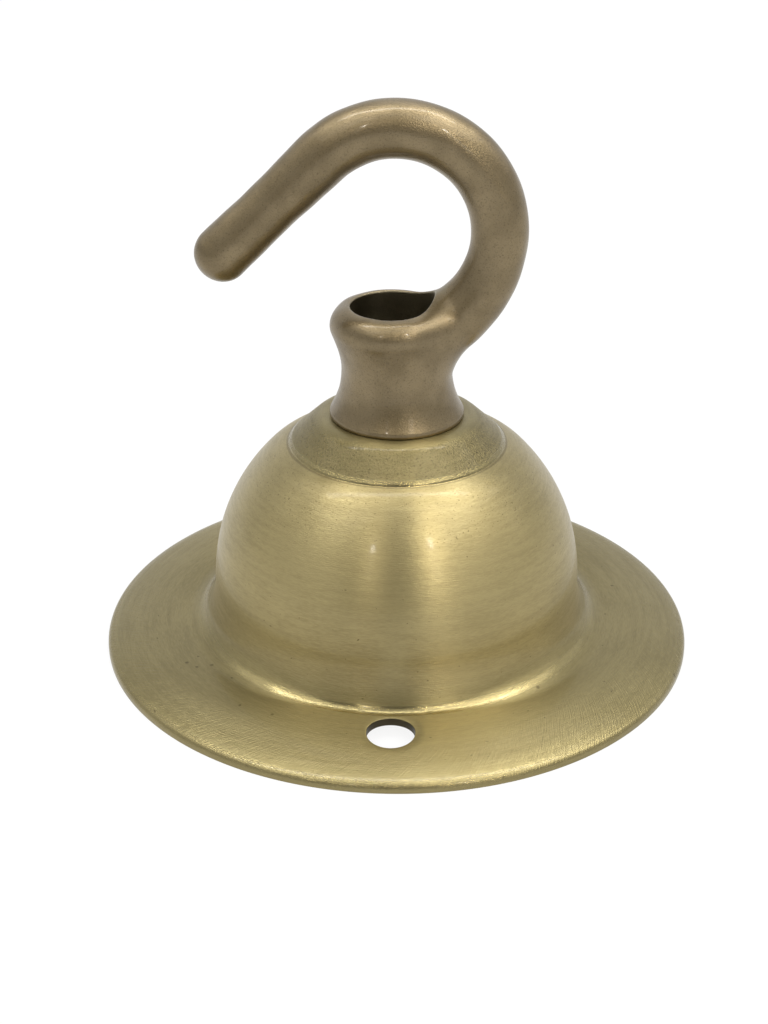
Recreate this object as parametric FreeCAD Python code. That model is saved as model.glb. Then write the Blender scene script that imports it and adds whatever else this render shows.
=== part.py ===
"""Ceiling hook: a pressed brass plate that carries a cast hook on a hollow threaded nipple.

The origin is the centre of the rim's plane, which is the face laid against the ceiling.
+Z points from the ceiling towards the hook, the hook bends in the XZ plane with its tip
towards -X, and the two screw holes lie on the Y axis. All sizes are in millimetres and
all angles in degrees.
"""
import FreeCAD, Part

import math
import os

from FreeCAD import Vector

# Plate: a pressed sheet, whose bends are given by their inside radius
SHEET = 0.9
RIM_RADIUS = 33.0
RIM_BEND = 0.8
FLANGE_SLOPE = 3.0
FLARE_RADIUS = 11.0
FLARE_SLOPE = 64.0
CREASE_RADIUS = 0.7
DOME_RADIUS = 20.5
DOME_CENTRE_Z = 7.2
DOME_TOP_RADIUS = 13.7
DOME_TOP_SLOPE = 46.0
STEP_FOOT_RADIUS = 0.3
STEP_BEND = 0.1
STEP_SLOPE = 65.0
CAP_SLOPE = 41.5
CAP_LENGTH = 3.4
CAP_BEND = 0.3

# Screw holes, at the centres of a round conduit box
FIXING_CENTRES = 50.8
SCREW_HOLE_RADIUS = 2.5

# M10 x 1 thread that joins the neck, the plate and the nut
THREAD_RADIUS = 5.0
THREAD_DEPTH = 0.54
THREAD_CLEARANCE = 0.02
THREAD_ENGAGEMENT = 7.2
PLATE_HOLE_CLEARANCE = 0.15

# Hollow nipple
NIPPLE_WALL = 1.1
NIPPLE_BELOW_NUT = 1.2
NIPPLE_CHAMFER = 0.4

# Lock nut
NUT_ACROSS_FLATS = 14.0
NUT_HEIGHT = 3.0
NUT_CHAMFER_ANGLE = 30.0
NUT_CHAMFER_WIDTH = 0.35
NUT_ROOM = 0.45

# Neck of the hook
NECK_WALL = 0.86
NECK_FOOT_FLARE = 1.42
NECK_FOOT_ROUND = 1.0
NECK_FOOT_EDGE = 0.2
WAIST_HEIGHT = 5.3
WAIST_LOWER_CURVE = 6.8
LIP_HEIGHT = 4.94
LIP_ROUND = 2.2
LIP_INSET = 0.015

# Loop and tail of the hook
BAR_RADIUS = 3.0
LOOP_RADIUS = 10.8
LOOP_CENTRE_X = -0.2
LOOP_ABOVE_LIP = 0.16
ROOT_ANGLE = -80.0
ROOT_SWELL_ANGLE = -10.0
ROOT_SWELL = 1.0
ROOT_SECTIONS = 7
ROOT_FILLET = 2.5
TAIL_SLOPE = 44.0
TAIL_LENGTH = 14.7
TAIL_NARROWING = 0.18
TIP_RADIUS = 2.95

# Sizes that follow from the ones above
RIM_TURN_RADIUS = RIM_BEND + SHEET
STEP_BEAD_RADIUS = STEP_BEND + SHEET
CAP_SHOULDER_RADIUS = CAP_BEND + SHEET
NUT_CORNER_RADIUS = NUT_ACROSS_FLATS / math.sqrt(3.0)
TAPPING_RADIUS = THREAD_RADIUS - THREAD_DEPTH
TAPPED_RADIUS = THREAD_RADIUS + THREAD_CLEARANCE
WAIST_RADIUS = TAPPED_RADIUS + NECK_WALL
NECK_FOOT_RADIUS = WAIST_RADIUS + NECK_FOOT_FLARE

ORIGIN = Vector(0, 0, 0)
UP = Vector(0, 0, 1)


def on_circle(centre, radius, angle):
    """Point of the XZ plane at an angle, from +X towards +Z, on a circle."""
    turn = math.radians(angle)
    return Vector(centre.x + radius * math.cos(turn), 0, centre.z + radius * math.sin(turn))


def direction(angle):
    """Unit vector of the XZ plane at an angle."""
    return on_circle(ORIGIN, 1.0, angle)


def arc(centre, radius, start, end):
    """Arc of the XZ plane from one angle to another."""
    middle = on_circle(centre, radius, (start + end) / 2.0)
    return Part.Arc(on_circle(centre, radius, start), middle, on_circle(centre, radius, end)).toShape()


def chain(pieces):
    """Join arcs and points in order, with a straight edge across every gap between them."""
    edges = []
    last = None
    for piece in pieces:
        is_point = isinstance(piece, Vector)
        first = piece if is_point else piece.valueAt(piece.FirstParameter)
        if last is not None and not last.isEqual(first, 1e-7):
            edges.append(Part.makeLine(last, first))
        if not is_point:
            edges.append(piece)
        last = piece if is_point else piece.valueAt(piece.LastParameter)
    return edges


def face_of(edges):
    """Flat face inside a closed outline."""
    return Part.Face(Part.Wire(Part.__sortEdges__(edges)))


def revolved(edges):
    """Solid of revolution about Z of a closed outline in the XZ plane, with its seam towards -X."""
    solid = face_of(edges).revolve(ORIGIN, UP, 360.0)
    solid.rotate(ORIGIN, UP, 180.0)
    return solid


def rod(radius, bottom, top, y=0.0):
    """Upright cylinder between two heights."""
    return Part.makeCylinder(radius, top - bottom, Vector(0, y, bottom))


class Cap:
    """Where the arcs of the plate's top lie, from the flattened top of the dome up to the seat.

    The flat seat reaches over the corners of the nut below it. From there the cone, the bead and
    the foot of the small step lead outwards, and the dome flattens until it meets that foot.
    """

    normal_angle = 90.0 - CAP_SLOPE
    step_angle = 90.0 - STEP_SLOPE
    top_end = 90.0 - DOME_TOP_SLOPE

    def __init__(self):
        dome_centre = Vector(0, 0, DOME_CENTRE_Z)
        self.top_centre = on_circle(dome_centre, DOME_RADIUS - DOME_TOP_RADIUS, self.top_end)

        # Sideways from the seat's edge to the foot of the step
        cone_down = direction(self.normal_angle - 90.0) * CAP_LENGTH
        cone_down += direction(self.normal_angle) * (CAP_SHOULDER_RADIUS - STEP_BEAD_RADIUS)
        step_down = direction(self.step_angle) * (STEP_BEAD_RADIUS + STEP_FOOT_RADIUS)
        foot_x = NUT_CORNER_RADIUS + NUT_ROOM + cone_down.x + step_down.x

        # The foot's arc touches the top of the dome
        reach = DOME_TOP_RADIUS + STEP_FOOT_RADIUS
        self.top_start = math.degrees(math.acos((foot_x - self.top_centre.x) / reach))
        self.foot_centre = on_circle(self.top_centre, reach, self.top_start)
        self.bead_centre = self.foot_centre - step_down
        self.shoulder_centre = self.bead_centre - cone_down
        self.seat_z = self.shoulder_centre.z + CAP_SHOULDER_RADIUS


CAP = Cap()
SEAT_Z = CAP.seat_z
NUT_TOP_Z = SEAT_Z - SHEET
WAIST_Z = SEAT_Z + WAIST_HEIGHT
LIP_CENTRE = Vector(TAPPING_RADIUS - LIP_INSET, 0, WAIST_Z + LIP_HEIGHT)
LOOP_INSIDE_RADIUS = LOOP_RADIUS - BAR_RADIUS
LOOP_CENTRE = Vector(LOOP_CENTRE_X, 0, LIP_CENTRE.z + LIP_ROUND + LOOP_ABOVE_LIP + LOOP_INSIDE_RADIUS)


def plate_skin(inset):
    """Edges of one side of the sheet, from the nipple's hole out to the rim.

    Every arc keeps its centre and its angles on both sides of the sheet, so the two sides
    are parallel. An inset of nought gives the outer side.
    """
    dome_centre = Vector(0, 0, DOME_CENTRE_Z)
    rim_centre = Vector(RIM_RADIUS - RIM_TURN_RADIUS, 0, 0)

    # The dome flares out to a tight crease, which lies on the flange
    flange_up = direction(90.0 - FLANGE_SLOPE)
    flange_out = direction(-FLANGE_SLOPE)
    to_crease = direction(90.0 - FLARE_SLOPE) * (FLARE_RADIUS - CREASE_RADIUS)
    lift = flange_up.dot(rim_centre - dome_centre + to_crease) + RIM_TURN_RADIUS + CREASE_RADIUS
    reach = math.sqrt((DOME_RADIUS + FLARE_RADIUS) ** 2 - lift ** 2)
    flare_centre = dome_centre + flange_up * lift + flange_out * reach
    crease_centre = flare_centre - to_crease
    dome_end = math.degrees(math.atan2(flare_centre.z - dome_centre.z, flare_centre.x))

    return chain([
        Vector(THREAD_RADIUS + PLATE_HOLE_CLEARANCE, 0, SEAT_Z - inset),
        arc(CAP.shoulder_centre, CAP_SHOULDER_RADIUS - inset, 90.0, CAP.normal_angle),
        arc(CAP.bead_centre, STEP_BEAD_RADIUS - inset, CAP.normal_angle, CAP.step_angle),
        arc(CAP.foot_centre, STEP_FOOT_RADIUS + inset, CAP.step_angle + 180.0, CAP.top_start + 180.0),
        arc(CAP.top_centre, DOME_TOP_RADIUS - inset, CAP.top_start, CAP.top_end),
        arc(dome_centre, DOME_RADIUS - inset, CAP.top_end, dome_end),
        arc(flare_centre, FLARE_RADIUS + inset, dome_end + 180.0, 270.0 - FLARE_SLOPE),
        arc(crease_centre, CREASE_RADIUS + inset, 270.0 - FLARE_SLOPE, 270.0 - FLANGE_SLOPE),
        arc(rim_centre, RIM_TURN_RADIUS - inset, 90.0 - FLANGE_SLOPE, 0.0),
    ])


def ceiling_plate():
    """Sheet pressed to a flange, a dome and a cap, with two screw holes punched in the flange."""
    outer = plate_skin(0.0)
    inner = plate_skin(SHEET)
    hole_edge = Part.makeLine(outer[0].Vertexes[0].Point, inner[0].Vertexes[0].Point)
    rim_edge = Part.makeLine(outer[-1].Vertexes[-1].Point, inner[-1].Vertexes[-1].Point)
    plate = revolved(outer + inner + [hole_edge, rim_edge])
    for side in (-1, 1):
        plate = plate.cut(rod(SCREW_HOLE_RADIUS, 0.0, SEAT_Z, y=side * FIXING_CENTRES / 2.0))
    return plate


def neck_blank():
    """Solid waisted neck, before it is bored: a foot, a waist and a rounded lip."""
    lower_centre = Vector(WAIST_RADIUS + WAIST_LOWER_CURVE, 0, WAIST_Z)

    # The foot's round touches the lower curve of the waist
    foot_x = NECK_FOOT_RADIUS - NECK_FOOT_ROUND
    across = lower_centre.x - foot_x
    down = math.sqrt((WAIST_LOWER_CURVE + NECK_FOOT_ROUND) ** 2 - across ** 2)
    foot_centre = Vector(foot_x, 0, WAIST_Z - down)
    foot_angle = math.degrees(math.atan2(down, across))

    # The upper curve of the waist touches the lip's round
    inward = WAIST_RADIUS - LIP_CENTRE.x
    upper_curve = (inward ** 2 + LIP_HEIGHT ** 2 - LIP_ROUND ** 2) / (2.0 * (LIP_ROUND - inward))
    upper_centre = Vector(WAIST_RADIUS + upper_curve, 0, WAIST_Z)
    lip_angle = math.degrees(math.atan2(LIP_HEIGHT, upper_curve + inward))

    edge_centre = Vector(NECK_FOOT_RADIUS - NECK_FOOT_EDGE, 0, SEAT_Z + NECK_FOOT_EDGE)
    bottom = Vector(0, 0, SEAT_Z)
    return revolved(chain([
        bottom,
        arc(edge_centre, NECK_FOOT_EDGE, -90.0, 0.0),
        arc(foot_centre, NECK_FOOT_ROUND, 0.0, foot_angle),
        arc(lower_centre, WAIST_LOWER_CURVE, 180.0 + foot_angle, 180.0),
        arc(upper_centre, upper_curve, 180.0, 180.0 - lip_angle),
        arc(LIP_CENTRE, LIP_ROUND, -lip_angle, 0.0),
        arc(LIP_CENTRE, LIP_ROUND, 0.0, 90.0),
        Vector(0, 0, LIP_CENTRE.z + LIP_ROUND),
        bottom,
    ]))


def bar_section(angle, radius):
    """Round section of the bar at an angle on the loop, touching the inside of the loop."""
    centre = on_circle(LOOP_CENTRE, LOOP_INSIDE_RADIUS + radius, angle)
    along = direction(angle + 90.0)
    section = Part.Wire(Part.makeCircle(radius, centre, along))

    # Half a turn puts the seam on the inside of the loop, clear of the blend at the root
    section.rotate(centre, along, 180.0)
    return section


def root_swell():
    """Lower run of the loop, which thickens on its outside down to the neck."""
    sections = []
    for step in range(ROOT_SECTIONS):
        share = step / (ROOT_SECTIONS - 1)
        angle = ROOT_SWELL_ANGLE + share * (ROOT_ANGLE - ROOT_SWELL_ANGLE)
        sections.append(bar_section(angle, BAR_RADIUS + ROOT_SWELL * share ** 2))
    return Part.makeLoft(sections, True)


def tail():
    """Straight end of the bar, a little narrower in the middle, with a rounded tip."""
    turn = 90.0 + TAIL_SLOPE
    along = direction(turn + 90.0)
    outward = direction(turn)
    start = on_circle(LOOP_CENTRE, LOOP_RADIUS, turn)
    shoulder = start + outward * BAR_RADIUS
    waist = start + along * (TAIL_LENGTH / 2.0) + outward * (BAR_RADIUS - TAIL_NARROWING)
    tip = start + along * TAIL_LENGTH
    flank = Part.BSplineCurve()
    flank.interpolate(Points=[shoulder, waist, tip + outward * TIP_RADIUS], InitialTangent=along, FinalTangent=along)
    outline = chain([start, flank.toShape(), arc(tip, TIP_RADIUS, turn, turn + 90.0), start])
    return face_of(outline).revolve(start, along, 360.0)


def bar():
    """Round bar bent to a loop, from its thick root to its straight tail."""
    section = Part.Face(bar_section(ROOT_SWELL_ANGLE, BAR_RADIUS))
    loop = section.revolve(LOOP_CENTRE, Vector(0, -1, 0), 90.0 + TAIL_SLOPE - ROOT_SWELL_ANGLE)
    return loop.fuse([root_swell(), tail()])


def shared_edges(shape, first, second):
    """Edges of a shape that lie on the skins of both of the solids it was made from."""
    found = []
    for edge in shape.Edges:
        middle = Part.Vertex(edge.valueAt((edge.FirstParameter + edge.LastParameter) / 2.0))
        if all(middle.distToShape(solid.Shells[0])[0] < 1e-4 for solid in (first, second)):
            found.append(edge)
    return found


def hook():
    """Casting of the neck and the bar, bored through for the thread and blended where they meet."""
    neck = neck_blank()
    bent = bar()
    bored = neck.fuse(bent).cut(rod(TAPPING_RADIUS, SEAT_Z, LOOP_CENTRE.z))
    blended = bored.makeFillet(ROOT_FILLET, shared_edges(bored, neck, bent))
    return blended.cut(rod(TAPPED_RADIUS, SEAT_Z, SEAT_Z + THREAD_ENGAGEMENT))


def threaded_nipple():
    """Hollow all-thread tube from below the nut up to the end of the neck's thread."""
    bottom = NUT_TOP_Z - NUT_HEIGHT - NIPPLE_BELOW_NUT
    top = SEAT_Z + THREAD_ENGAGEMENT
    edge = THREAD_RADIUS - NIPPLE_CHAMFER
    bore = THREAD_RADIUS - NIPPLE_WALL
    return revolved(chain([
        Vector(bore, 0, bottom),
        Vector(edge, 0, bottom),
        Vector(THREAD_RADIUS, 0, bottom + NIPPLE_CHAMFER),
        Vector(THREAD_RADIUS, 0, top - NIPPLE_CHAMFER),
        Vector(edge, 0, top),
        Vector(bore, 0, top),
        Vector(bore, 0, bottom),
    ]))


def lock_nut():
    """Thin hexagon nut with both faces chamfered, tightened up under the cap."""
    bottom = NUT_TOP_Z - NUT_HEIGHT
    face_radius = NUT_ACROSS_FLATS / 2.0 - NUT_CHAMFER_WIDTH
    drop = (NUT_CORNER_RADIUS - face_radius) * math.tan(math.radians(NUT_CHAMFER_ANGLE))
    turns = [math.radians(60.0 * side) for side in range(6)]
    corners = [Vector(math.cos(turn), math.sin(turn), 0) * NUT_CORNER_RADIUS + UP * bottom for turn in turns]
    prism = Part.Face(Part.makePolygon(corners + corners[:1])).extrude(UP * NUT_HEIGHT)
    turned = revolved(chain([
        Vector(0, 0, bottom),
        Vector(face_radius, 0, bottom),
        Vector(NUT_CORNER_RADIUS, 0, bottom + drop),
        Vector(NUT_CORNER_RADIUS, 0, NUT_TOP_Z - drop),
        Vector(face_radius, 0, NUT_TOP_Z),
        Vector(0, 0, NUT_TOP_Z),
        Vector(0, 0, bottom),
    ]))
    return prism.common(turned).cut(rod(TAPPED_RADIUS, bottom, NUT_TOP_Z))


def main():
    """Write one file per piece and print what each piece measures."""
    os.makedirs("parts", exist_ok=True)
    print("seat", round(SEAT_Z, 3), "lip", round(LIP_CENTRE.z + LIP_ROUND, 3), "loop centre", round(LOOP_CENTRE.z, 3))
    pieces = {
        "ceiling_plate": ceiling_plate(),
        "hook": hook(),
        "threaded_nipple": threaded_nipple(),
        "lock_nut": lock_nut(),
    }
    for name, shape in pieces.items():
        print(name, "solids", len(shape.Solids), "valid", shape.isValid(), "volume", round(shape.Volume, 1))
        shape.Solids[0].exportStep(f"parts/{name}.step")


main()
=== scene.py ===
"""Looks of the brass ceiling hook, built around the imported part.

Every piece is a surface worked out with numpy in millimetres and put into its mesh in metres.
The plate, the nipple and the nut are outlines carried round the axis, and the hook is the skin
of a distance field, because its bar swells and runs into the bored neck.
"""
import logging
import math
from dataclasses import dataclass, field
from enum import Enum
from typing import Callable, ClassVar, Optional, Sequence

import bpy
import numpy as np
from mathutils import Matrix, Vector

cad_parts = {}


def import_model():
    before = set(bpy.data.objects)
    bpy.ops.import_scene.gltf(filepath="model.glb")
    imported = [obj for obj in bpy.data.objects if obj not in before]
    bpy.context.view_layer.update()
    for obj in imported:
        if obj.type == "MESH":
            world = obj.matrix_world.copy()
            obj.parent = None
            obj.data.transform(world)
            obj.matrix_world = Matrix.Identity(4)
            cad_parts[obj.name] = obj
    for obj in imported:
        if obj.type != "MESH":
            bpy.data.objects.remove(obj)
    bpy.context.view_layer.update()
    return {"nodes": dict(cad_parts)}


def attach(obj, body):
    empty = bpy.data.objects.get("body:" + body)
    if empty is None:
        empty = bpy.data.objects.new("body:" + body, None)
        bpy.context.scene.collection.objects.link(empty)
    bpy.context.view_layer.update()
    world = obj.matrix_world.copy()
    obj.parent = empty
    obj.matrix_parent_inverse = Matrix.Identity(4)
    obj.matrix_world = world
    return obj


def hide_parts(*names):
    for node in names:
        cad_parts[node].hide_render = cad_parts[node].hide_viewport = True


LOG = logging.getLogger("ceiling_hook")
MM = 0.001
FULL_TURN = 2.0 * math.pi
THREAD_FLAT = 0.1
TINY = 1e-9
QUARTER_TURN = 0.25
Array = np.ndarray
Colour = tuple[float, float, float, float]
Distance = Callable[[Array], Array]
Socket = bpy.types.NodeSocket
WHITE: Colour = (1.0, 1.0, 1.0, 1.0)


class Slot(Enum):
    """Material slots of the record."""

    PLATE = "plate_brass"
    HOOK = "cast_brass"
    NIPPLE = "nipple_brass"
    NUT = "nut_brass"


# Plane geometry

def on_circle(centre: Sequence[float], radius: float, angle: float) -> Array:
    """Point on a circle of the profile plane.

    Args:
        centre: Centre, as distance from the axis and height.
        radius: Radius of the circle.
        angle: Degrees from outwards towards up.

    Returns:
        Distance from the axis and height.
    """
    turn = math.radians(angle)
    return np.array([centre[0] + radius * math.cos(turn), centre[1] + radius * math.sin(turn)])


def arc(centre: Sequence[float], radius: float, start: float, end: float, count: int) -> Array:
    """Points at even angles on an arc of the profile plane.

    Args:
        centre: Centre, as distance from the axis and height.
        radius: Radius of the arc.
        start: First angle in degrees.
        end: Last angle in degrees.
        count: Number of points.

    Returns:
        One row for each point.
    """
    turns = np.radians(np.linspace(start, end, count))
    return np.stack([centre[0] + radius * np.cos(turns), centre[1] + radius * np.sin(turns)], axis=1)


def straight(start: Array, end: Array, count: int) -> Array:
    """Points inside a straight run, without its two ends.

    Args:
        start: Point before the run.
        end: Point after the run.
        count: Number of points inside.

    Returns:
        One row for each point.
    """
    share = np.linspace(0.0, 1.0, count + 2)[1:-1, None]
    return start + (end - start) * share


def thread_height(turn: Array, height: Array, pitch: float) -> Array:
    """Share of a thread's depth: a triangle wave with flats, which climbs one pitch in each turn.

    Args:
        turn: Angle round the axis in radians.
        height: Height along the axis.
        pitch: Rise of one turn.

    Returns:
        Nought at the root and one at the crest.
    """
    phase = height / pitch - turn / FULL_TURN
    wave = 2.0 * np.abs(phase - np.floor(phase) - 0.5)
    return np.clip((wave - THREAD_FLAT) / (1.0 - 2.0 * THREAD_FLAT), 0.0, 1.0)


def around(r: Array, turns: Array, z: Array) -> Array:
    """Points at distances from the axis, angles and heights.

    Args:
        r: Distances, one column for each angle.
        turns: Angles in radians.
        z: Heights, one column for each angle.

    Returns:
        One row for each point.
    """
    return np.stack([r * np.cos(turns), r * np.sin(turns), z], axis=-1).reshape(-1, 3)


def even_turns(count: int) -> Array:
    """Angles in radians that share a full turn."""
    return np.arange(count) * (FULL_TURN / count)


def ease(share: Array) -> Array:
    """Smooth step of a share that is held between nought and one."""
    held = np.clip(share, 0.0, 1.0)
    return held ** 2 * (3.0 - 2.0 * held)


# Meshes

def ring_quads(first: Array, second: Array) -> Array:
    """Quads between two closed rows of vertices, which face left of the step from the first row.

    Args:
        first: Vertex numbers of one row.
        second: Vertex numbers of the next row.

    Returns:
        Four vertex numbers for each quad.
    """
    after_first = np.roll(first, -1, axis=-1)
    after_second = np.roll(second, -1, axis=-1)
    return np.stack([first, second, after_second, after_first], axis=-1).reshape(-1, 4)


def put_in_mesh(name: str, points: Array, quads: Array, normals: Optional[Array] = None,
                sharp_from: Optional[float] = None) -> bpy.types.Object:
    """Make an object of a surface, with its place in its mesh.

    Args:
        name: Name of the piece.
        points: Places of the vertices in millimetres.
        quads: Four vertex numbers for each face.
        normals: Directions of the true surface at the vertices, if they are known.
        sharp_from: Degrees between two faces from which their edge stays sharp.

    Returns:
        The new object.
    """
    mesh = bpy.data.meshes.new(name)
    mesh.vertices.add(len(points))
    mesh.vertices.foreach_set("co", (points * MM).astype(np.float32).ravel())
    mesh.loops.add(quads.size)
    mesh.loops.foreach_set("vertex_index", quads.astype(np.int32).ravel())
    mesh.polygons.add(len(quads))
    mesh.polygons.foreach_set("loop_start", np.arange(0, quads.size, 4, dtype=np.int32))
    mesh.polygons.foreach_set("use_smooth", np.ones(len(quads), dtype=bool))
    mesh.update(calc_edges=True)
    mesh.validate()
    if normals is not None:
        mesh.normals_split_custom_set_from_vertices(normals.astype(np.float32))
    if sharp_from is not None:
        mesh.set_sharp_from_angle(angle=math.radians(sharp_from))
    piece = bpy.data.objects.new(name, mesh)
    bpy.context.scene.collection.objects.link(piece)
    return piece


def mark(piece: bpy.types.Object, name: str, values: Array) -> None:
    """Keep a number for each vertex, which a finish can read.

    Args:
        piece: The piece.
        name: Name of the number.
        values: One number for each vertex.
    """
    kept = piece.data.attributes.new(name, "FLOAT", "POINT")
    kept.data.foreach_set("value", values.astype(np.float32))


def settle(piece: bpy.types.Object, node: str, slot: Slot, finish: bpy.types.Material) -> bpy.types.Object:
    """Let a piece stand for its node, ride with the part and wear its finish.

    Args:
        piece: The finished piece.
        node: Node that it stands for.
        slot: Material slot of the record.
        finish: Its material.

    Returns:
        The same piece.
    """
    piece.data.materials.append(finish)
    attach(piece, "root")
    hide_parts(node)
    LOG.info("%s: %d faces, slot %s", piece.name, len(piece.data.polygons), slot.value)
    return piece


def surface_net(distance: Distance, low: Sequence[float], high: Sequence[float], step: float,
                slab_count: int = 12, pulls: int = 4, least_slope: float = 0.05) -> tuple[Array, ...]:
    """Skin of a distance field.

    One vertex lies in every cell of a cubic grid that the skin passes through, and one quad crosses every
    grid line that the skin cuts. The vertices are then moved along the slope of the field onto the skin.

    Args:
        distance: Field that is negative inside, given points.
        low: Lowest corner of the grid.
        high: Highest corner of the grid.
        step: Side of a cell.
        slab_count: Number of slabs in which the field is worked out, to spare memory.
        pulls: Number of moves onto the skin.
        least_slope: Least squared slope by which a move is divided.

    Returns:
        Points, quads and normals.
    """
    axes = [np.arange(low[k], high[k] + step, step) for k in range(3)]
    slabs = []
    for part in np.array_split(axes[0], slab_count):
        corner = np.stack(np.meshgrid(part, axes[1], axes[2], indexing="ij"), axis=-1)
        slabs.append(distance(corner.reshape(-1, 3)).reshape(corner.shape[:3]) < 0.0)
    inside = np.concatenate(slabs, axis=0)
    cells = tuple(n - 1 for n in inside.shape)
    count = np.zeros(cells, dtype=np.int8)
    for shift in np.ndindex(2, 2, 2):
        count += inside[tuple(slice(s, s + n) for s, n in zip(shift, cells))]
    crossed = (count > 0) & (count < 8)
    number = np.full(cells, -1, dtype=np.int64)
    number[crossed] = np.arange(np.count_nonzero(crossed))
    where = np.argwhere(crossed)
    points = np.stack([axes[k][where[:, k]] for k in range(3)], axis=1) + step / 2.0
    quads = []
    for axis in range(3):
        along, across = (axis + 1) % 3, (axis + 2) % 3
        before = np.take(inside, np.arange(inside.shape[axis] - 1), axis=axis)
        after = np.take(inside, np.arange(1, inside.shape[axis]), axis=axis)
        edge = np.argwhere(before != after)
        leaves = before[tuple(edge.T)]
        ring = []
        for u, v in ((-1, -1), (0, -1), (0, 0), (-1, 0)):
            cell = edge.copy()
            cell[:, along] += u
            cell[:, across] += v
            ring.append(number[tuple(cell.T)])
        quad = np.stack(ring, axis=1)
        quad[~leaves] = quad[~leaves][:, ::-1]
        quads.append(quad)
    for _ in range(pulls):
        slope, value = field_slope(distance, points)
        move = slope * (value / np.maximum((slope ** 2).sum(axis=1), least_slope))[:, None]
        length = np.linalg.norm(move, axis=1, keepdims=True)
        points = points - move * np.minimum(1.0, step / np.maximum(length, TINY))
    slope, _ = field_slope(distance, points)
    normals = slope / np.maximum(np.linalg.norm(slope, axis=1, keepdims=True), TINY)
    return points, np.concatenate(quads), normals


def field_slope(distance: Distance, points: Array, reach: float = 0.02) -> tuple[Array, Array]:
    """Slope of a field by small steps along the three axes.

    Args:
        distance: The field.
        points: Where the slope is taken.
        reach: Length of a step.

    Returns:
        Slope and value at the points.
    """
    steps = np.eye(3) * reach
    slope = np.stack([distance(points + s) - distance(points - s) for s in steps], axis=1) / (2.0 * reach)
    return slope, distance(points)


def round_union(first: Array, second: Array, radius: float) -> Array:
    """Union of two fields with a fillet: inside the fillet it is the distance from the fillet's own circle.

    Args:
        first: Distance from one solid.
        second: Distance from the other solid.
        radius: Radius of the fillet.

    Returns:
        Distance from the filleted union.
    """
    near = np.hypot(np.maximum(radius - first, 0.0), np.maximum(radius - second, 0.0))
    return np.maximum(radius, np.minimum(first, second)) - near


def round_cut(first: Array, second: Array, width: float) -> Array:
    """Larger of two fields with the edge between them broken by a quadratic over a small width.

    Args:
        first: One field.
        second: The other field.
        width: Difference of the fields at which the rounding starts.

    Returns:
        The larger field, rounded.
    """
    share = np.maximum(width - np.abs(first - second), 0.0) / width
    return np.maximum(first, second) + share ** 2 * width / 4.0


# Pieces

@dataclass
class Piece:
    """Piece that stands for one node of the part and wears one finish."""

    node: ClassVar[str]
    slot: ClassVar[Slot]
    finish: bpy.types.Material

    def dress(self, piece: bpy.types.Object) -> None:
        """Give the piece its finish and let it stand for its node."""
        settle(piece, self.node, self.slot, self.finish)


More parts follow.
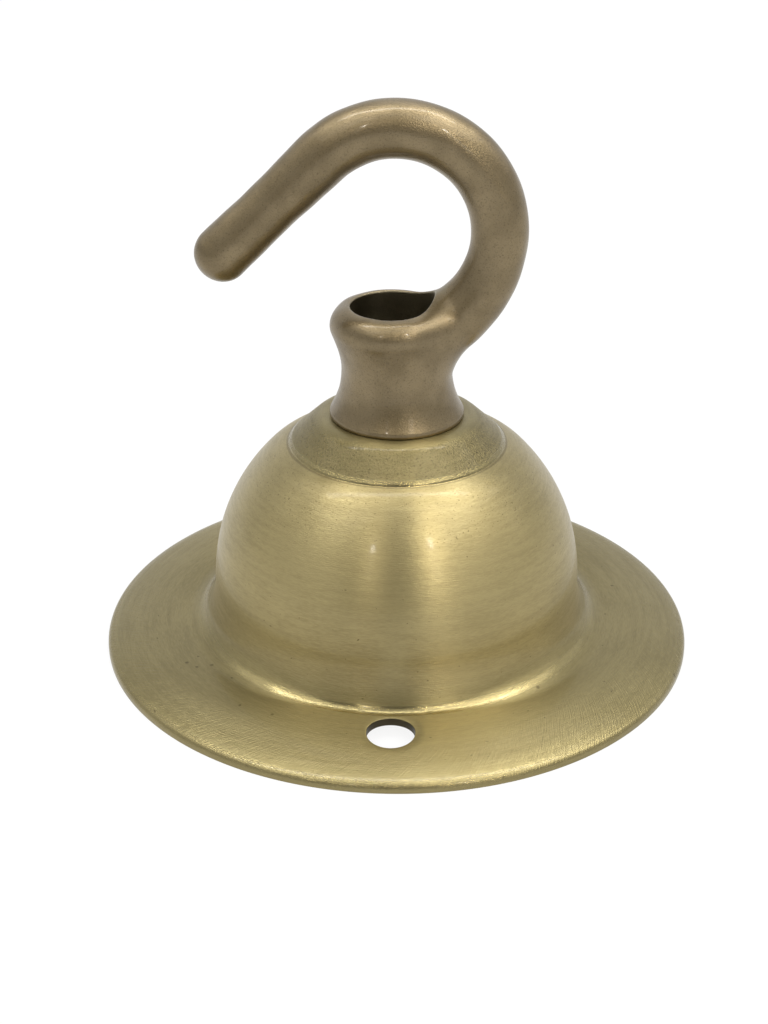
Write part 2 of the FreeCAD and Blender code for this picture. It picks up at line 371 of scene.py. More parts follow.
@dataclass
class CeilingPlate(Piece):
    """Pressed plate: flange with two screw holes, dome and stepped cap."""

    node: ClassVar[str] = "ceiling_plate"
    slot: ClassVar[Slot] = Slot.PLATE
    sheet: float = 0.9
    rim_radius: float = 33.0
    rim_roll: float = 9.0
    rim_edge: float = 0.75
    rim_edge_slope: float = 25.0
    rim_edge_z: float = 0.3
    flange_slope: float = 3.0
    flange_crown: float = 0.25
    flare_radius: float = 11.0
    flare_slope: float = 64.0
    crease_radius: float = 0.7
    soft_crease: float = 3.0
    crease_turn: tuple[float, float] = (12.0, 44.0)
    dome_radius: float = 20.5
    dome_centre_z: float = 7.2
    dome_top_radius: float = 8.0
    dome_top_slope: float = 46.0
    step_foot: float = 0.15
    step_bead: float = 0.35
    step_slope: float = 75.0
    cap_slope: float = 43.0
    cap_length: float = 3.26
    cap_shoulder: float = 2.6
    seat_radius: float = 7.598
    least_bend: float = 0.02
    nipple_hole: float = 5.15
    fixing_centres: float = 50.8
    screw_hole: float = 2.5
    hole_edge: float = 0.08
    hole_dimple: float = 0.12
    hole_dimple_width: float = 1.3
    segments: int = 320
    hole_block: tuple[float, float] = (21.4, 29.4)
    hole_half_block: int = 9
    hole_margin: int = 4
    hole_rings: int = 7
    hole_bends: tuple[float, ...] = (30.0, 60.0, 90.0)
    arc_points: tuple[int, ...] = (6, 5, 6, 11, 36, 12, 13, 8, 9)
    run_points: tuple[int, int, int] = (4, 6, 22)
    sharp_from: float = 50.0

    def crease_slope(self, bend: float) -> float:
        """Slope at which the flare meets a crease of another radius, with the flare left where it is.

        Args:
            bend: Radius of the crease.

        Returns:
            Slope in degrees.
        """
        lean = math.radians(self.flare_slope - self.flange_slope)
        level = (self.flare_radius - self.crease_radius) * math.cos(lean) + self.crease_radius
        return self.flange_slope + math.degrees(math.acos((level - bend) / (self.flare_radius - bend)))

    def skin(self, inset: float, bend: float) -> Array:
        """Profile of one side of the sheet, from the nipple's hole out to the rim.

        Every arc keeps its centre and angles on both sides of the sheet. Bulging arcs lose the inset,
        down to a least bend, and hollow arcs gain it, so both sides have their points at the same places.
        A parabola crowns the flange between the crease and the rim, which rolls down gently to a rounded
        edge and is cut off level where it lies on the ceiling.

        Args:
            inset: Depth below the outer side.
            bend: Radius of the crease between flare and flange.

        Returns:
            Distance from the axis and height of each point.
        """
        shoulder_r = self.cap_shoulder
        bead_r = self.step_bead
        rim_r = self.rim_roll
        edge_start = 90.0 - self.rim_edge_slope
        edge_sunk = max(inset - self.rim_edge + self.least_bend, 0.0)
        normal = 90.0 - self.cap_slope
        step = 90.0 - self.step_slope
        top_end = 90.0 - self.dome_top_slope
        nought = np.zeros(2)
        dome = np.array([0.0, self.dome_centre_z])
        top = on_circle(dome, self.dome_radius - self.dome_top_radius, top_end)
        cone_down = on_circle(nought, self.cap_length, normal - 90.0)
        cone_down = cone_down + on_circle(nought, shoulder_r - bead_r, normal)
        step_down = on_circle(nought, bead_r + self.step_foot, step)
        reach = self.dome_top_radius + self.step_foot
        foot_x = self.seat_radius + cone_down[0] + step_down[0]
        top_start = math.degrees(math.acos((foot_x - top[0]) / reach))
        foot = on_circle(top, reach, top_start)
        bead = foot - step_down
        shoulder = bead - cone_down
        edge = np.array([self.rim_radius - self.rim_edge, self.rim_edge_z])
        rim = edge - on_circle(nought, rim_r - self.rim_edge, edge_start)
        edge = edge - on_circle(nought, edge_sunk, edge_start)
        flange_up = on_circle(nought, 1.0, 90.0 - self.flange_slope)
        flange_out = on_circle(nought, 1.0, -self.flange_slope)
        slope = self.crease_slope(bend)
        to_crease = on_circle(nought, self.flare_radius - bend, 90.0 - slope)
        lift = flange_up @ (rim - dome + to_crease) + rim_r + bend
        across = math.sqrt((self.dome_radius + self.flare_radius) ** 2 - lift ** 2)
        flare = dome + flange_up * lift + flange_out * across
        crease = flare - to_crease
        dome_end = math.degrees(math.atan2(flare[1] - dome[1], flare[0]))
        crease_start = 270.0 - slope
        turn = math.degrees(4.0 * self.flange_crown / (rim[0] - crease[0]))
        start = np.array([self.nipple_hole, shoulder[1] + shoulder_r - inset])
        bends = (
            (shoulder, shoulder_r - inset, 90.0, normal),
            (bead, max(bead_r - inset, self.least_bend), normal, step),
            (foot, self.step_foot + inset, step + 180.0, top_start + 180.0),
            (top, self.dome_top_radius - inset, top_start, top_end),
            (dome, self.dome_radius - inset, top_end, dome_end),
            (flare, self.flare_radius + inset, dome_end + 180.0, crease_start),
            (crease, bend + inset, crease_start, 270.0 - self.flange_slope + turn),
            (rim, rim_r - inset, 90.0 - self.flange_slope - turn, edge_start),
            (edge, max(self.rim_edge - inset, self.least_bend), edge_start, 0.0),
        )
        arcs = [arc(*values, count) for values, count in zip(bends, self.arc_points)]
        tops, bottoms = arcs[:3], [run[1:] for run in arcs[3:7]]
        roll, lip = arcs[7], arcs[8][1:]
        seat_points, cone_points, flange_points = self.run_points
        seat = straight(start, tops[0][0], seat_points)
        cone = straight(tops[0][-1], tops[1][0], cone_points)
        flange = straight(bottoms[-1][-1], roll[0], flange_points)
        share = np.linspace(0.0, 1.0, flange_points + 2)[1:-1]
        flange[:, 1] += 4.0 * self.flange_crown * share * (1.0 - share)
        end = lip[-1] * (1.0, 0.0)
        return np.concatenate([[start], seat, tops[0], cone, *tops[1:], *bottoms, flange, roll, lip, [end]])

    def build(self) -> bpy.types.Object:
        """Carry the closed outline of the sheet round the axis, and lay rings around each screw hole.

        A point is (r cos a, r sin a, z) for each profile point (r, z) and each angle a. The profile changes
        from a tight crease beside the holes to a soft one away from them. Around a hole, a block of the
        grid is left out, and rings that change from the block's edge to a circle fill it.

        Returns:
            The plate.
        """
        outer, inner = (self.skin(inset, self.crease_radius) for inset in (0.0, self.sheet))
        tight = np.concatenate([outer, inner[::-1]])
        soft_outer, soft_inner = (self.skin(inset, self.soft_crease) for inset in (0.0, self.sheet))
        soft = np.concatenate([soft_outer, soft_inner[::-1]])
        rows = len(tight)
        turns = even_turns(self.segments)
        tight_to, soft_from = self.crease_turn
        from_hole = np.degrees(np.abs(np.arcsin(np.cos(turns))))
        share = ease((from_hole - tight_to) / (soft_from - tight_to))[:, None]
        section = tight[:, None] * (1.0 - share) + soft[:, None] * share
        points = around(section[..., 0], turns, section[..., 1])
        number = np.arange(rows * self.segments).reshape(rows, self.segments)
        kept = np.ones((rows, self.segments), dtype=bool)
        sheets = [points]
        extra = []
        first, last = (int(np.argmin(np.abs(outer[:, 0] - r))) for r in self.hole_block)
        near = slice(first - self.hole_margin, last + self.hole_margin + 1)
        profiles = (outer[near], inner[near])
        total = len(points)
        for side in (-1, 1):
            middle = self.segments * (2 - side) // 4
            columns = np.arange(middle - self.hole_half_block, middle + self.hole_half_block + 1)
            kept[first:last, columns[:-1]] = False
            kept[rows - 1 - last:rows - 1 - first, columns[:-1]] = False
            centre = np.array([0.0, side * self.fixing_centres / 2.0])
            made, quads = self.hole(profiles, number, (first, last), columns, centre, points, total)
            sheets.append(made)
            extra.append(quads)
            total += len(made)
        ahead = np.roll(number, -1, axis=0)
        quads = ring_quads(number, ahead).reshape(rows, self.segments, 4)[kept]
        quads = np.concatenate([quads, *extra])
        return put_in_mesh("ceiling_plate_brass", np.concatenate(sheets), quads, sharp_from=self.sharp_from)

    def hole(self, profiles: tuple[Array, Array], number: Array, block: tuple[int, int], columns: Array,
             centre: Array, points: Array, offset: int) -> tuple[Array, Array]:
        """Rings around one screw hole, from the grid on top, through the hole, to the grid below.

        Args:
            profiles: Outer and inner profile near the flange.
            number: Vertex numbers of the grid.
            block: First and last outer row of the block that is left out.
            columns: Columns of the block.
            centre: Centre of the hole in plan.
            points: Vertices of the grid.
            offset: Number that the first new vertex gets.

        Returns:
            New points and the quads that use them.
        """
        outer, inner = profiles
        first, last = block
        rows = number.shape[0]
        down = np.arange(first, last + 1)

        def border(order: Array) -> Array:
            """Vertex numbers round the block, in one order on both sides of the sheet.

            Args:
                order: Rows of the block, from the dome outwards.

            Returns:
                Vertex numbers of the closed border.
            """
            return np.concatenate([
                number[order[0], columns[:-1]],
                number[order[:-1], columns[-1]],
                number[order[-1], columns[:0:-1]],
                number[order[:0:-1], columns[0]],
            ])

        top = border(down)
        under = border(rows - 1 - down)
        plan = points[top, :2]
        bearing = np.arctan2(plan[:, 1] - centre[1], plan[:, 0] - centre[0])
        heading = np.stack([np.cos(bearing), np.sin(bearing)], axis=1)

        def height(profile: Array, place: Array) -> Array:
            """Height of one side of the sheet, dished by a cubic fall towards the hole's edge.

            Args:
                profile: Profile of that side.
                place: Points in plan.

            Returns:
                Height of each point.
            """
            out = np.hypot(place[:, 0], place[:, 1])
            order = np.argsort(profile[:, 0])
            near = np.linalg.norm(place - centre, axis=1) - self.screw_hole
            dish = np.clip(1.0 - near / self.hole_dimple_width, 0.0, 1.0) ** 3
            return np.interp(out, profile[order, 0], profile[order, 1]) - self.hole_dimple * dish

        edge = self.screw_hole + self.hole_edge
        shares = np.linspace(0.0, 1.0, self.hole_rings + 1)[1:, None, None]
        flat_top = plan * (1.0 - shares) + (centre + heading * edge) * shares
        flat_under = points[under, :2] * (1.0 - shares) + (centre + heading * edge) * shares
        upper = [np.column_stack([ring, height(outer, ring)]) for ring in flat_top]
        lower = [np.column_stack([ring, height(inner, ring)]) for ring in flat_under]
        bends = np.radians(self.hole_bends)
        circle = [centre + heading * (edge - self.hole_edge * math.sin(b)) for b in bends]
        fall = [self.hole_edge * (1.0 - math.cos(b)) for b in bends]
        upper += [np.column_stack([c, upper[-1][:, 2] - f]) for c, f in zip(circle, fall)]
        lower += [np.column_stack([c, lower[-1][:, 2] + f]) for c, f in zip(circle, fall)]
        made = np.stack(upper + lower[::-1])
        numbers = offset + np.arange(made.shape[0] * made.shape[1]).reshape(made.shape[:2])
        chain = np.concatenate([top[None], numbers, under[None]])
        return made.reshape(-1, 3), ring_quads(chain[:-1], chain[1:])


@dataclass
class Hook(Piece):
    """Casting: waisted neck, swelling root, loop and straight tail, bored through for the thread."""

    node: ClassVar[str] = "hook"
    slot: ClassVar[Slot] = Slot.HOOK
    seat_z: float = 26.5
    thread_radius: float = 5.0
    thread_depth: float = 0.54
    thread_clearance: float = 0.02
    pitch: float = 1.0
    waist_radius: float = 5.95
    foot_radius: float = 7.3
    foot_round: float = 0.45
    foot_edge: float = 0.3
    seat_edge: float = 0.05
    waist_height: float = 5.3
    lower_curve: float = 8.9
    lip_height: float = 4.94
    lip_round: float = 2.2
    lip_inset: float = 0.015
    bar_radius: float = 3.0
    loop_radius: float = 10.8
    loop_x: float = -0.2
    loop_above_lip: float = 0.16
    root_angle: float = -80.0
    swell_angle: float = -10.0
    swell: float = 1.0
    fillet: float = 2.0
    mouth_lean: float = 0.5
    tail_slope: float = 44.0
    tail_length: float = 14.7
    tail_narrowing: float = 0.155
    tip_radius: float = 2.95
    mouth_edge: float = 0.25
    plain_mouth: float = 5.0
    thread_run_out: float = 0.8
    unevenness: float = 0.02
    even_foot: float = 1.0
    even_fade: float = 3.0
    bore_margin: float = 0.3
    near_axis: float = 0.1
    bore_facing: tuple[float, float] = (0.3, 0.8)
    cell: float = 0.185
    grid_low: tuple[float, float, float] = (-22.0, -8.0, 26.0)
    grid_high: tuple[float, float, float] = (15.5, 8.0, 61.5)

    def __post_init__(self) -> None:
        """Work out the centres of the arcs from the sizes."""
        self.waist_z = self.seat_z + self.waist_height
        self.lower = np.array([self.waist_radius + self.lower_curve, self.waist_z])
        lip_out = self.thread_radius - self.thread_depth - self.lip_inset
        self.lip = np.array([lip_out, self.waist_z + self.lip_height])
        inward = self.waist_radius - lip_out
        spread = inward ** 2 + self.lip_height ** 2 - self.lip_round ** 2
        self.upper_curve = spread / (2.0 * (self.lip_round - inward))
        self.upper = np.array([self.waist_radius + self.upper_curve, self.waist_z])
        across = self.lower[0] - (self.foot_radius - self.foot_round)
        down = math.sqrt((self.lower_curve + self.foot_round) ** 2 - across ** 2)
        self.foot = np.array([self.foot_radius - self.foot_round, self.waist_z - down])
        self.inside = self.loop_radius - self.bar_radius
        self.loop_z = self.lip[1] + self.lip_round + self.loop_above_lip + self.inside

    def neck(self, out: Array, height: Array) -> Array:
        """Distance from the neck's outer skin, which is that of the arc in whose fan a point lies.

        Args:
            out: Distance of the points from the axis.
            height: Height of the points.

        Returns:
            Distance, negative inside.
        """
        def from_centre(centre: Array) -> Array:
            """Distance of the points from an arc's centre."""
            return np.hypot(out - centre[0], height - centre[1])

        lip = np.where(out > self.lip[0], from_centre(self.lip), height - self.lip[1]) - self.lip_round
        upper = self.upper_curve - from_centre(self.upper)
        lower = self.lower_curve - from_centre(self.lower)
        foot_ball = from_centre(self.foot) - self.foot_round
        foot = np.where(height > self.foot[1], foot_ball, out - self.foot_radius)
        lip_line = self.lip - self.upper
        foot_line = self.foot - self.lower
        above_lip = lip_line[0] * (height - self.upper[1]) - lip_line[1] * (out - self.upper[0]) < 0.0
        above_foot = foot_line[0] * (height - self.lower[1]) - foot_line[1] * (out - self.lower[0]) < 0.0
        over_waist = np.where(above_lip, lip, upper)
        under_waist = np.where(above_foot, lower, foot)
        skin = np.where(height > self.waist_z, over_waist, under_waist)
        return round_cut(skin, self.seat_z - height, self.foot_edge)

    def bar(self, points: Array) -> Array:
        """Distance from the bar: the loop's round section, thicker towards the root, and the tail.

        The loop's section touches the inside of the loop, so the swelling goes outwards. The tail is a
        straight round bar that a squared sine makes a little narrower half way, with a ball at its tip.

        Args:
            points: Where the distance is taken.

        Returns:
            Distance, negative inside.
        """
        x, y, z = points.T
        across, up = x - self.loop_x, z - self.loop_z
        turn = 90.0 + self.tail_slope
        angle = np.degrees(np.arctan2(up, across))
        angle = np.where(angle < -(360.0 - turn + self.root_angle) / 2.0 - 90.0, angle + 360.0, angle)
        held = np.radians(np.clip(angle, self.root_angle, turn))
        share = (np.degrees(held) - self.swell_angle) / (self.root_angle - self.swell_angle)
        radius = self.bar_radius + self.swell * np.clip(share, 0.0, 1.0) ** 2
        reach = self.inside + radius
        gap = (across - reach * np.cos(held)) ** 2 + (up - reach * np.sin(held)) ** 2 + y ** 2
        loop = np.sqrt(gap) - radius
        start = on_circle((self.loop_x, self.loop_z), self.loop_radius, turn)
        heading = on_circle((0.0, 0.0), 1.0, turn + 90.0)
        along = np.clip((x - start[0]) * heading[0] + (z - start[1]) * heading[1], 0.0, self.tail_length)
        part = along / self.tail_length
        thick = self.bar_radius + (self.tip_radius - self.bar_radius) * part
        thick = thick - self.tail_narrowing * np.sin(math.pi * part) ** 2
        gap = (x - start[0] - along * heading[0]) ** 2 + (z - start[1] - along * heading[1]) ** 2 + y ** 2
        return np.minimum(loop, np.sqrt(gap) - thick)

    def distance(self, points: Array) -> Array:
        """Distance from the casting: neck and bar filleted into each other, less the threaded bore.

        Two products of slow sines stand for the unevenness of the casting, which fades out at its foot.

        Args:
            points: Where the distance is taken.

        Returns:
            Distance, negative inside.
        """
        x, y, z = points.T
        leaning = x + self.mouth_lean * ease((z - self.waist_z) / (self.lip[1] - self.waist_z))
        out = np.hypot(leaning, y)
        solid = round_union(self.neck(out, z), self.bar(points), self.fillet)
        wave = np.sin(1.3 * x + 0.7 * z + 0.4) * np.sin(1.1 * y - 0.5 * z + 1.7)
        wave = wave + np.sin(0.9 * z - 0.8 * x) * np.sin(1.6 * y)
        fade = np.clip((z - self.seat_z - self.even_foot) / self.even_fade, 0.0, 1.0)
        solid = solid + self.unevenness * wave * fade
        tapped = self.thread_radius + self.thread_clearance
        below = self.lip[1] + self.lip_round - self.plain_mouth - z
        groove = 1.0 - thread_height(np.arctan2(y, leaning), z, self.pitch)
        groove = groove * np.clip(below / self.thread_run_out, 0.0, 1.0)
        bore = np.minimum(tapped - self.thread_depth * (1.0 - groove) - out, self.loop_z - z)
        return round_cut(round_cut(solid, bore, self.mouth_edge), self.seat_z - z, self.seat_edge)

    def build(self) -> bpy.types.Object:
        """Lay a net of quads on the skin of the casting's distance field, and mark its bore.

        Returns:
            The casting.
        """
        points, quads, normals = surface_net(self.distance, self.grid_low, self.grid_high, self.cell)
        piece = put_in_mesh("hook_casting", points, quads, normals=normals)
        out = np.hypot(points[:, 0], points[:, 1])
        facing_in = -(normals[:, :2] * points[:, :2]).sum(axis=1) / np.maximum(out, self.near_axis)
        low, high = self.bore_facing
        share = np.clip((facing_in - low) / (high - low), 0.0, 1.0)
        mark(piece, "bore", np.where(out < self.thread_radius + self.bore_margin, share, 0.0))
        return piece


@dataclass
class ThreadedNipple(Piece):
    """Hollow tube with a thread along its whole outside."""

    node: ClassVar[str] = "threaded_nipple"
    slot: ClassVar[Slot] = Slot.NIPPLE
    bottom: float = 21.4
    top: float = 33.7
    radius: float = 5.0
    depth: float = 0.54
    bore: float = 3.9
    chamfer: float = 0.4
    below_root: float = 0.15
    pitch: float = 1.0
    segments: int = 72
    rows_each_pitch: int = 14
    bore_rows: int = 12
    sharp_from: float = 55.0

    def build(self) -> bpy.types.Object:
        """Carry a closed outline round the axis, whose outside follows the thread.

        The outside lies at r = root + depth times the thread's share at angle a and height z, and below
        the chamfers at both ends. The inside is a plain bore.

        Returns:
            The nipple.
        """
        turns = even_turns(self.segments)
        rows = int((self.top - self.bottom) / self.pitch * self.rows_each_pitch)
        a, z = np.meshgrid(turns, np.linspace(self.bottom, self.top, rows))
        outside = self.radius - self.depth + self.depth * thread_height(a, z, self.pitch)
        end = np.minimum(z - self.bottom, self.top - z)
        drop = self.depth + self.below_root
        outside = np.minimum(outside, self.radius - drop + end * drop / self.chamfer)
        inside_z = np.linspace(self.top, self.bottom, self.bore_rows)[:, None] + 0.0 * turns
        r = np.concatenate([outside, np.full_like(inside_z, self.bore)])
        z = np.concatenate([z, inside_z])
        number = np.arange(r.size).reshape(r.shape)
        quads = ring_quads(np.roll(number, -1, axis=0), number)
        return put_in_mesh("threaded_nipple_brass", around(r, turns, z), quads, sharp_from=self.sharp_from)


@dataclass
class LockNut(Piece):
    """Thin hexagon nut with chamfered faces and a threaded bore."""

    node: ClassVar[str] = "lock_nut"
    slot: ClassVar[Slot] = Slot.NUT
    top: float = 25.6
    height: float = 3.0
    across_flats: float = 14.0
    chamfer_angle: float = 30.0
    chamfer_width: float = 0.35
    tapped: float = 5.02
    depth: float = 0.54
    pitch: float = 1.0
    bore_edge: float = 0.1
    steps_each_side: int = 14
    face_rows: int = 5
    chamfer_rows: int = 5
    bore_rows: int = 44
    sharp_from: float = 25.0

    def build(self) -> bpy.types.Object:
        """Carry a closed outline round the axis, whose outside follows the hexagon.

        A side of the hexagon lies at half its width divided by the cosine of the angle from the side's
        middle, and the chamfer cuts the faces by a cone, so that it bows along each side.

        Returns:
            The nut.
        """
        segments = 6 * self.steps_each_side
        turns = even_turns(segments)
        bottom = self.top - self.height
        side = np.mod(turns, math.pi / 3.0) - math.pi / 6.0
        hexagon = self.across_flats / 2.0 / np.cos(side)
        face = self.across_flats / 2.0 - self.chamfer_width
        drop = (hexagon - face) * math.tan(math.radians(self.chamfer_angle))
        share = np.linspace(0.0, 1.0, self.chamfer_rows)[:, None]
        chamfer_r = face + (hexagon - face) * share
        faces = np.linspace(self.tapped + self.bore_edge, face, self.face_rows + 1)[:-1, None] + 0.0 * turns
        bore_ends = (self.top - self.bore_edge, bottom + self.bore_edge)
        bore_z = np.linspace(*bore_ends, self.bore_rows)[:, None] + 0.0 * turns
        bore_r = self.tapped - self.depth * thread_height(turns + 0.0 * bore_z, bore_z, self.pitch)
        r = np.concatenate([faces, chamfer_r, chamfer_r[::-1], faces[::-1], bore_r])
        z = np.concatenate([
            np.full_like(faces, bottom),
            bottom + drop * share,
            (self.top - drop * share)[::-1],
            np.full_like(faces, self.top),
            bore_z,
        ])
        number = np.arange(r.size).reshape(r.shape)
        quads = ring_quads(np.roll(number, -1, axis=0), number)
        return put_in_mesh("lock_nut_brass", around(r, turns, z), quads, sharp_from=self.sharp_from)


# Finishes

class NodeBench:
    """Short words for the nodes of one material or world."""

    material: bpy.types.Material

    def __init__(self, tree: bpy.types.NodeTree) -> None:
        """Start with an empty node tree."""
        self.tree = tree
        self.tree.nodes.clear()

    @classmethod
    def of_material(cls, name: str) -> "NodeBench":
        """Bench for a new material.

        Args:
            name: Name of the material.

        Returns:
            The bench, which keeps the material.
        """
        made = bpy.data.materials.new(name)
        made.use_nodes = True
        bench = cls(made.node_tree)
        bench.material = made
        return bench

    def node(self, kind: str, *values: object, **settings: object) -> bpy.types.Node:
        """Add a node, set its properties and feed its first sockets.

        Args:
            kind: Type of the node.
            values: Sockets or plain values for its inputs, in their order.
            settings: Properties of the node.

        Returns:
            The node.
        """
        made = self.tree.nodes.new(kind)
        for key, value in settings.items():
            setattr(made, key, value)
        for socket, value in zip(made.inputs, values):
            self.feed(socket, value)
        return made

    def feed(self, socket: Socket, value: object) -> None:
        """Link a socket to another one, or set it to a plain value.

        Args:
            socket: Input of a node.
            value: Output of another node, or a plain value.
        """
        if isinstance(value, Socket):
            self.tree.links.new(value, socket)
        else:
            socket.default_value = value

    def math(self, operation: str, *values: object) -> Socket:
        """Result of a sum on plain numbers."""
        return self.node("ShaderNodeMath", *values, operation=operation).outputs[0]

    def times(self, first: object, second: object) -> Socket:
        """Product of two numbers."""
        return self.math("MULTIPLY", first, second)

    def plus(self, first: object, second: object) -> Socket:
        """Total of two numbers."""
        return self.math("ADD", first, second)

    def less(self, first: object, second: object) -> Socket:
        """First number less the second."""
        return self.math("SUBTRACT", first, second)

    def most(self, first: object, second: object) -> Socket:
        """Larger of two numbers."""
        return self.math("MAXIMUM", first, second)

    def between(self, share: object, first: object, second: object) -> Socket:
        """Number between two numbers."""
        return self.plus(first, self.times(share, self.less(second, first)))

    def vector(self, operation: str, *values: object) -> Socket:
        """Vector that a vector sum gives, or its number where the sum gives a number.

        Args:
            operation: The sum.
            values: Vectors.

        Returns:
            The result.
        """
        made = self.node("ShaderNodeVectorMath", *values, operation=operation)
        gives_number = operation in ("LENGTH", "DISTANCE", "DOT_PRODUCT")
        return made.outputs["Value"] if gives_number else made.outputs[0]

    def combine(self, x: object, y: object, z: object = 0.0) -> Socket:
        """Vector of three numbers."""
        return self.node("ShaderNodeCombineXYZ", x, y, z).outputs[0]

    def parts(self, vector: Socket) -> Sequence[Socket]:
        """The three numbers of a vector."""
        return tuple(self.node("ShaderNodeSeparateXYZ", vector).outputs)

    def place(self) -> Socket:
        """Object coordinates in millimetres."""
        made = self.node("ShaderNodeTexCoord")
        return self.vector("MULTIPLY", made.outputs["Object"], (1.0 / MM,) * 3)

    def marked(self, name: str) -> Socket:
        """Number that the piece keeps for each vertex."""
        return self.node("ShaderNodeAttribute", attribute_name=name).outputs["Fac"]

    def noise(self, place: object, scale: float, detail: float, rough: float = 0.5) -> Socket:
        """Soft noise from nought to one.

        Args:
            place: Where the noise is taken.
            scale: Waves in each unit of place.
            detail: Number of finer layers.
            rough: Strength of each layer against the one before.

        Returns:
            The noise.
        """
        made = self.node("ShaderNodeTexNoise")
        for name, value in (("Vector", place), ("Scale", scale), ("Detail", detail), ("Roughness", rough)):
            self.feed(made.inputs[name], value)
        return made.outputs[0]

    def cells(self, place: object, scale: float) -> Socket:
        """Distance from the nearest point of a scatter.

        Args:
            place: Where the distance is taken.
            scale: Points in each unit of place.

        Returns:
            The distance.
        """
        made = self.node("ShaderNodeTexVoronoi")
        for name, value in (("Vector", place), ("Scale", scale)):
            self.feed(made.inputs[name], value)
        return made.outputs["Distance"]

    def span(self, value: object, low: float, high: float, to_low: float = 0.0,
             to_high: float = 1.0) -> Socket:
        """Number carried smoothly from one range to another, and held at its ends.

        Args:
            value: The number.
            low: Start of its range.
            high: End of its range.
            to_low: Result at the start.
            to_high: Result at the end.

        Returns:
            The carried number.
        """
        values = (value, low, high, to_low, to_high)
        return self.node("ShaderNodeMapRange", *values, interpolation_type="SMOOTHSTEP").outputs[0]

    def band(self, value: object, edges: tuple[float, float, float, float]) -> Socket:
        """One inside a band with soft edges, and nought outside.

        Args:
            value: The number.
            edges: Where the rise starts and ends, and where the fall starts and ends.

        Returns:
            The share.
        """
        rise_start, rise_end, fall_start, fall_end = edges
        return self.times(self.span(value, rise_start, rise_end), self.span(value, fall_end, fall_start))

    def blend(self, share: object, first: object, second: object, kind: str = "MIX") -> Socket:
        """Colour between two colours.

        Args:
            share: Share of the second colour.
            first: Colour at nought.
            second: Colour at one.
            kind: How the second colour acts on the first.

        Returns:
            The colour.
        """
        made = self.node("ShaderNodeMix", data_type="RGBA", blend_type=kind)
        for place, value in ((0, share), (6, first), (7, second)):
            self.feed(made.inputs[place], value)
        return made.outputs[2]

    def bump(self, height: object, depth: float, strength: float, under: Optional[Socket] = None) -> Socket:
        """Normal of a surface with fine relief.

        Args:
            height: Height of the relief, from nought to one.
            depth: Its depth in millimetres.
            strength: How much of it shows.
            under: Normal of the surface below it.

        Returns:
            The normal.
        """
        made = self.node("ShaderNodeBump")
        for name, value in (("Strength", strength), ("Distance", depth * MM), ("Height", height)):
            self.feed(made.inputs[name], value)
        if under is not None:
            self.feed(made.inputs["Normal"], under)
        return made.outputs[0]

    def metal(self, colour: Socket, roughness: Socket, normal: Socket, lacquer: object = 0.0,
              lacquer_roughness: float = 0.15, anisotropy: float = 0.0) -> bpy.types.Material:
        """Finish the material as a metal under a thin clear lacquer.

        Args:
            colour: Colour of the metal.
            roughness: Roughness of the metal.
            normal: Normal of the metal's relief.
            lacquer: Share of the lacquer.
            lacquer_roughness: Roughness of the lacquer.
            anisotropy: How much longer the highlights are across strokes round the axis.

        Returns:
            The material.
        """
        shader = self.node("ShaderNodeBsdfPrincipled")
        for name, value in (
            ("Metallic", 1.0),
            ("Base Color", colour),
            ("Roughness", roughness),
            ("Normal", normal),
            ("Coat Weight", lacquer),
            ("Coat Roughness", lacquer_roughness),
            ("Anisotropic", anisotropy),
        ):
            self.feed(shader.inputs[name], value)
        if anisotropy > 0.0:
            self.feed(shader.inputs["Anisotropic Rotation"], QUARTER_TURN)
            tangent = self.node("ShaderNodeTangent", direction_type="RADIAL", axis="Z")
            self.feed(shader.inputs["Tangent"], tangent.outputs[0])
        self.node("ShaderNodeOutputMaterial", shader.outputs[0])
        return self.material


